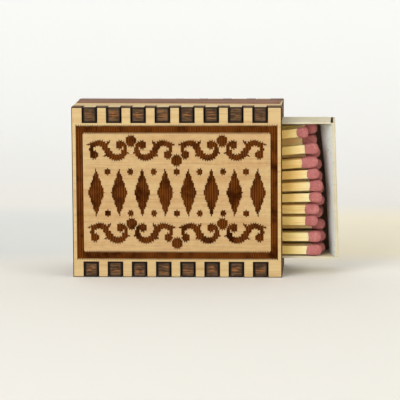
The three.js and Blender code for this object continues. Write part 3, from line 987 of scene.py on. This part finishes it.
card_tray = build_tray()
shape_card(card_tray)
apply_modifier(card_tray, "SOLIDIFY", thickness=CARD_THICKNESS, offset=0)
make_active(card_tray)
bpy.ops.object.shade_smooth_by_angle(angle=math.radians(40))
for material in (CARD, CARD_INSIDE, CARD_FLAP, CARD_CORNER_SHADE):
    card_tray.data.materials.append(material)
for polygon in card_tray.data.polygons:
    centre = polygon.center
    from_end = tray_half_length - abs(centre.x - tray_middle_x + TRAY_LEAN / 2)
    inward = (tray_middle_x - centre.x) * polygon.normal.x
    if polygon.normal.y < -0.9 and centre.y > floor_y - 0.3 * MM:
        # Painted shade: the inside of the floor takes the dark card.
        polygon.material_index = INSIDE_SLOT
    elif abs(polygon.normal.x) > 0.7 and inward > 0 and abs(centre.z - tray_middle_z) < tray_half_height:
        # Painted light: the inner face of each flap takes the pale, bluish card.
        polygon.material_index = FLAP_SLOT
    elif polygon.normal.z > 0.6 and centre.z > tray_high.z - 0.8 * MM and 0.15 * MM < from_end < 0.85 * MM:
        # Painted shade: the fold's upper end beside the slit takes the dark card.
        polygon.material_index = CORNER_SHADE_SLOT
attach(card_tray, "tray")
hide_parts("tray")
print("tray:", triangles(card_tray), "triangles")

# %% [markdown]
# A match is a sawn splint and a dipped head. Each is modelled once and then copied, and each
# copy is turned, bent and swollen a little by its own number, so that no two are the same.

# %% The splint and the head, modelled once
HEAD_CAP = 1.0 * MM
STICK_LENGTH = 41.0 * MM
STICK_WIDTH = 2.2 * MM
HEAD_LENGTH = 3.6 * MM
HEAD_WIDTH = 3.0 * MM
WIDEST = 0.42


def model_splint():
    splint = block("splint_pattern", (-HEAD_CAP - STICK_LENGTH, -STICK_WIDTH / 2, -STICK_WIDTH / 2),
                   (-HEAD_CAP, STICK_WIDTH / 2, STICK_WIDTH / 2))
    bpy.ops.object.mode_set(mode="EDIT")
    for step in range(1, 10):
        bpy.ops.mesh.select_all(action="SELECT")
        bpy.ops.mesh.bisect(plane_co=(-HEAD_CAP - STICK_LENGTH * step / 10, 0, 0), plane_no=(1, 0, 0))
    bpy.ops.object.mode_set(mode="OBJECT")
    ease_edges(splint)
    splint.data.materials.append(SPLINT)
    return splint


def head_radius(share):
    """Half the head's width, from its tip (0) to where the coat ends on the splint (1)."""
    if share < WIDEST:
        return HEAD_WIDTH / 2 * (1 - (1 - share / WIDEST) ** 2.3) ** (1 / 2.1)
    fall = (share - WIDEST) / (1 - WIDEST)
    return HEAD_WIDTH / 2 - (HEAD_WIDTH / 2 - STICK_WIDTH / 2 - 0.1 * MM) * fall ** 1.8


def squared(angle, share):
    """How far a section stands out at an angle: round at the tip, a soft square at the splint."""
    power = 2.5 + 3.0 * share
    return (abs(math.cos(angle)) ** power + abs(math.sin(angle)) ** power) ** (-1 / power)


def model_head():
    clear_selection()
    bpy.ops.mesh.primitive_uv_sphere_add(segments=24, ring_count=16, radius=1, rotation=(0, math.pi / 2, 0))
    head = bpy.context.object
    head.name = "head_pattern"
    settle(head)
    for vertex in head.data.vertices:
        share = min(1.0, (1 - vertex.co.x) / 2 * 1.04)
        ring = math.hypot(vertex.co.y, vertex.co.z)
        angle = math.atan2(vertex.co.z, vertex.co.y)
        radius = head_radius(share) * squared(angle, share) if ring > 1e-4 else 0.0
        if vertex.co.x < -0.97:
            radius *= 0.9
        vertex.co = (-share * HEAD_LENGTH, radius * math.cos(angle), radius * math.sin(angle))
    bpy.ops.object.shade_smooth_by_angle(angle=math.radians(50))
    head.data.materials.append(COAT)
    return head


splint_pattern = model_splint()
head_pattern = model_head()
print("splint", triangles(splint_pattern), "head", triangles(head_pattern), "triangles")

# %% [markdown]
# The pairs of nodes in the model say where each match lies: its height, its depth and how
# far its tip reaches. A match rests on its neighbours near the head and sinks a little at
# the other end, so the front ones slope. The length of each front match's coat is listed in
# millimetres, as the photograph shows it, and the others vary by chance.

# %% Lay the matches in the tray
def copy_piece(pattern, name, shape):
    piece = pattern.copy()
    piece.data = pattern.data.copy()
    piece.name = name
    bpy.context.collection.objects.link(piece)
    for vertex in piece.data.vertices:
        vertex.co = shape(vertex.co)
    return piece


FRONT_COATS = [4.06, 3.33, 3.2, 3.76, 3.33, 3.43, 3.33, 4.26, 3.5, 2.95]
SPLINT_WOBBLE = 0.04 * MM
COAT_WAVE = 0.3 * MM
COAT_LUMPS = 0.05


def match_shape(number, tip, slope):
    """How this match bends, turns and swells, and where it lies."""
    chance = random.Random(number * 7 + 3)
    turn = Matrix.Rotation(math.radians(chance.uniform(-7, 7)), 3, "X")
    lean = Matrix.Rotation(-slope, 3, "Y")
    bend = chance.uniform(-0.1, 0.1) * MM
    seed = chance.uniform(0, 50)

    def place_splint(co):
        share = -co.x / (STICK_LENGTH + HEAD_CAP)
        moved = Vector((co.x, co.y, co.z + bend * 4 * share * (1 - share)))
        moved.y += noise.noise(Vector((co.x * 120, seed, 1))) * SPLINT_WOBBLE
        return lean @ (turn @ moved) + tip

    length = chance.uniform(0.9, 1.12)
    if number < len(FRONT_COATS):
        length = FRONT_COATS[number] * MM / HEAD_LENGTH
    girth = chance.uniform(0.95, 1.01)

    def place_head(co):
        rear = max(0.0, -co.x / HEAD_LENGTH - 0.6) / 0.4
        wave = noise.noise(Vector((co.y * 700, co.z * 700, seed))) * COAT_WAVE * rear
        lump = 1 + COAT_LUMPS * noise.noise(co * 800 + Vector((seed, 0, 0)))
        moved = Vector((co.x * length - wave, co.y * girth * lump, co.z * girth * lump))
        return lean @ (turn @ moved) + tip

    return place_splint, place_head


def ends_of(node):
    """The middle of each end of a match or splint in the model, and its slope."""
    corners = corners_in_model(node)
    left = min(corner.x for corner in corners)
    right = max(corner.x for corner in corners)
    near_left = [corner for corner in corners if corner.x < left + 0.3 * MM]
    near_right = [corner for corner in corners if corner.x > right - 0.3 * MM]
    tail = sum(near_left, Vector()) / len(near_left)
    end = sum(near_right, Vector()) / len(near_right)
    return tail, end, math.atan2(end.z - tail.z, end.x - tail.x)


def lay_match(number, prefix, index):
    tail, end, slope = ends_of(f"{prefix}_stick_{index}")
    tip = end + (end - tail).normalized() * HEAD_CAP
    place_splint, place_head = match_shape(number, tip, slope)
    splint = copy_piece(splint_pattern, f"{prefix}_splint_{index}", place_splint)
    head = copy_piece(head_pattern, f"{prefix}_coat_{index}", place_head)
    for piece, node, slot in ((splint, "stick", "match_wood"), (head, "head", "match_head")):
        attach(piece, "tray")
        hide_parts(f"{prefix}_{node}_{index}")


def lay_rear_match(number, index):
    tail, tip, slope = ends_of(f"rear_match_{index}")
    place_splint, place_head = match_shape(number, tip, slope)
    splint = copy_piece(splint_pattern, "splint", place_splint)
    head = copy_piece(head_pattern, "coat", place_head)
    both = join([splint, head], f"rear_match_{index}_dressed")
    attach(both, "tray")
    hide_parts(f"rear_match_{index}")


count = 0
for prefix in ("front", "middle"):
    index = 1
    while f"{prefix}_head_{index}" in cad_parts:
        lay_match(count, prefix, index)
        index += 1
        count += 1
index = 1
while f"rear_match_{index}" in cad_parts:
    lay_rear_match(count, index)
    index += 1
    count += 1
for pattern in (splint_pattern, head_pattern):
    bpy.data.objects.remove(pattern, do_unlink=True)
print("matches laid:", count)

# %% [markdown]
# The stage is a pale floor that curves up behind the box into a plain backdrop, as in a
# small product studio. A strip of the floor behind the box is painted a little darker, a
# painted shadow of the box, grey at the left and tan at the right. The backdrop gets a slight
# lift for the eye only, so that it looks white without adding light to the box. From behind
# it is clear, so that the back of the box can be looked at too.

# %% Floor and backdrop
BAND_NEAR_EDGE = (0.012, 0.03)
BAND_FAR_EDGE = (0.125, 0.095)
GREY_TO_TAN = (-0.015, 0.035)
BACKDROP_LIFT = 0.13
SWEEP_RADIUS = 0.12
SWEEP_STEPS = 12
BACKDROP_HEIGHT = 1.2


def stage_material():
    material, tree = new_material("studio_paper", 0.9, 0.1)
    shader = tree.nodes["Principled BSDF"]
    x, y, z = position(tree)
    base = lay_over(tree, paint(243, 240, 232), z, 0.0, 0.16, paint(250, 250, 249))
    # Painted shadow: a darker strip of floor just behind the box, grey at the left and tan at the right.
    band = multiply(tree, mask(tree, y, *BAND_NEAR_EDGE), mask(tree, y, *BAND_FAR_EDGE))
    shade = lay_over(tree, paint(232, 234, 230), x, *GREY_TO_TAN, paint(253, 245, 221))
    base = mix_colour(tree, band, base, shade)
    tree.links.new(base, shader.inputs["Base Color"])
    ray = add_node(tree, "ShaderNodeLightPath").outputs
    seen = arithmetic(tree, "MAXIMUM", ray["Is Camera Ray"], ray["Is Glossy Ray"])
    seen = arithmetic(tree, "MAXIMUM", seen, ray["Is Transmission Ray"])
    lift = multiply(tree, seen, mask(tree, y, 0.08, 0.26))
    shader.inputs["Emission Color"].default_value = (0.55, 0.72, 1.0, 1.0)
    tree.links.new(multiply(tree, lift, BACKDROP_LIFT), shader.inputs["Emission Strength"])
    back_side = add_node(tree, "ShaderNodeNewGeometry").outputs["Backfacing"]
    from_behind = multiply(tree, back_side, ray["Is Camera Ray"])
    clear = add_node(tree, "ShaderNodeBsdfTransparent").outputs[0]
    both = add_node(tree, "ShaderNodeMixShader", {0: from_behind, 1: shader.outputs[0], 2: clear})
    tree.links.new(both.outputs[0], tree.nodes["Material Output"].inputs["Surface"])
    return material


def build_stage():
    clear_selection()
    bpy.ops.mesh.primitive_plane_add(size=1)
    stage = bpy.context.object
    stage.name = "studio_sweep"
    stage.scale = (3.0, 1.2, 1)
    stage.location = (0, -0.35, 0)
    settle(stage)
    bpy.ops.object.mode_set(mode="EDIT")
    select_edges(stage, lambda co: co.y > 0.24)
    pull_round(lambda turn: SWEEP_RADIUS * Vector((0, math.sin(turn), -math.cos(turn))),
               math.pi / 2, SWEEP_STEPS)
    pull((0, 0, BACKDROP_HEIGHT))
    bpy.ops.object.mode_set(mode="OBJECT")
    bpy.ops.object.shade_smooth()
    stage.data.materials.append(stage_material())
    print("stage", [round(size, 2) for size in stage.dimensions], "m")


build_stage()

# %% [markdown]
# The light is plain and soft: two wide lamps to the left in front, one on the right, a weak
# one overhead, and an even world. At their levels a colour renders about as it is written.
# The left lamps reach past the sleeve's edge, so the splints darken toward it.

# %% Light
def area_lamp(name, location, target, size, power, colour=(1, 1, 1)):
    data = bpy.data.lights.new(name, "AREA")
    data.shape = "RECTANGLE"
    data.size, data.size_y = size
    data.energy = power
    data.color = colour
    lamp = bpy.data.objects.new(name, data)
    lamp.location = location
    lamp.rotation_euler = (Vector(target) - Vector(location)).to_track_quat("-Z", "Y").to_euler()
    bpy.context.collection.objects.link(lamp)
    print(name, power, "W")


area_lamp("key_lamp", (-0.45, -0.45, 0.5), (0, 0, 0.02), (0.5, 0.45), 1.5, (0.98, 0.99, 1.0))
area_lamp("front_lamp", (-0.4, -0.75, 0.35), (0, 0, 0.02), (0.5, 0.4), 2.6)
area_lamp("top_lamp", (0.0, 0.05, 0.7), (0, 0, 0.0), (0.7, 0.6), 0.6)
area_lamp("right_lamp", (0.6, -0.3, 0.2), (0, 0, 0.0), (0.5, 0.3), 1.7, (1.0, 0.97, 0.92))
world = bpy.data.worlds.new("studio_air")
world.use_nodes = True
air = world.node_tree.nodes["Background"].inputs
air["Color"].default_value = (1.0, 1.0, 1.0, 1)
air["Strength"].default_value = 0.38
bpy.context.scene.world = world

# %% [markdown]
# The camera looks from slightly above and a little to the right, from far away with a long
# lens, so that the panel stays almost square to the picture.

# %% Camera
FRAME_PIXELS = 400
LENS_PIXELS = 2630.3
CAMERA_DISTANCE = 0.7
CAMERA_AZIMUTH = math.radians(3.385)
CAMERA_ELEVATION = math.radians(8.069)
CAMERA_ROLL = math.radians(-0.405)
CAMERA_TARGET = Vector((5.426, 0.0, 18.996)) * MM


def place_camera():
    toward = -Vector((math.sin(CAMERA_AZIMUTH) * math.cos(CAMERA_ELEVATION),
                      -math.cos(CAMERA_AZIMUTH) * math.cos(CAMERA_ELEVATION),
                      math.sin(CAMERA_ELEVATION)))
    right = toward.cross(Vector((0, 0, 1))).normalized()
    up = right.cross(toward)
    turned_right = right * math.cos(CAMERA_ROLL) + up * math.sin(CAMERA_ROLL)
    turned_up = up * math.cos(CAMERA_ROLL) - right * math.sin(CAMERA_ROLL)
    data = bpy.data.cameras.new("photo_camera")
    data.sensor_width = 36
    data.lens = LENS_PIXELS / FRAME_PIXELS * data.sensor_width
    camera = bpy.data.objects.new("photo_camera", data)
    turn = Matrix((turned_right, turned_up, -toward)).transposed()
    camera.matrix_world = Matrix.Translation(CAMERA_TARGET - toward * CAMERA_DISTANCE) @ turn.to_4x4()
    bpy.context.collection.objects.link(camera)
    bpy.context.scene.camera = camera


place_camera()
bpy.context.scene.view_settings.view_transform = "Standard"
print("camera with a", round(bpy.context.scene.camera.data.lens), "mm lens")
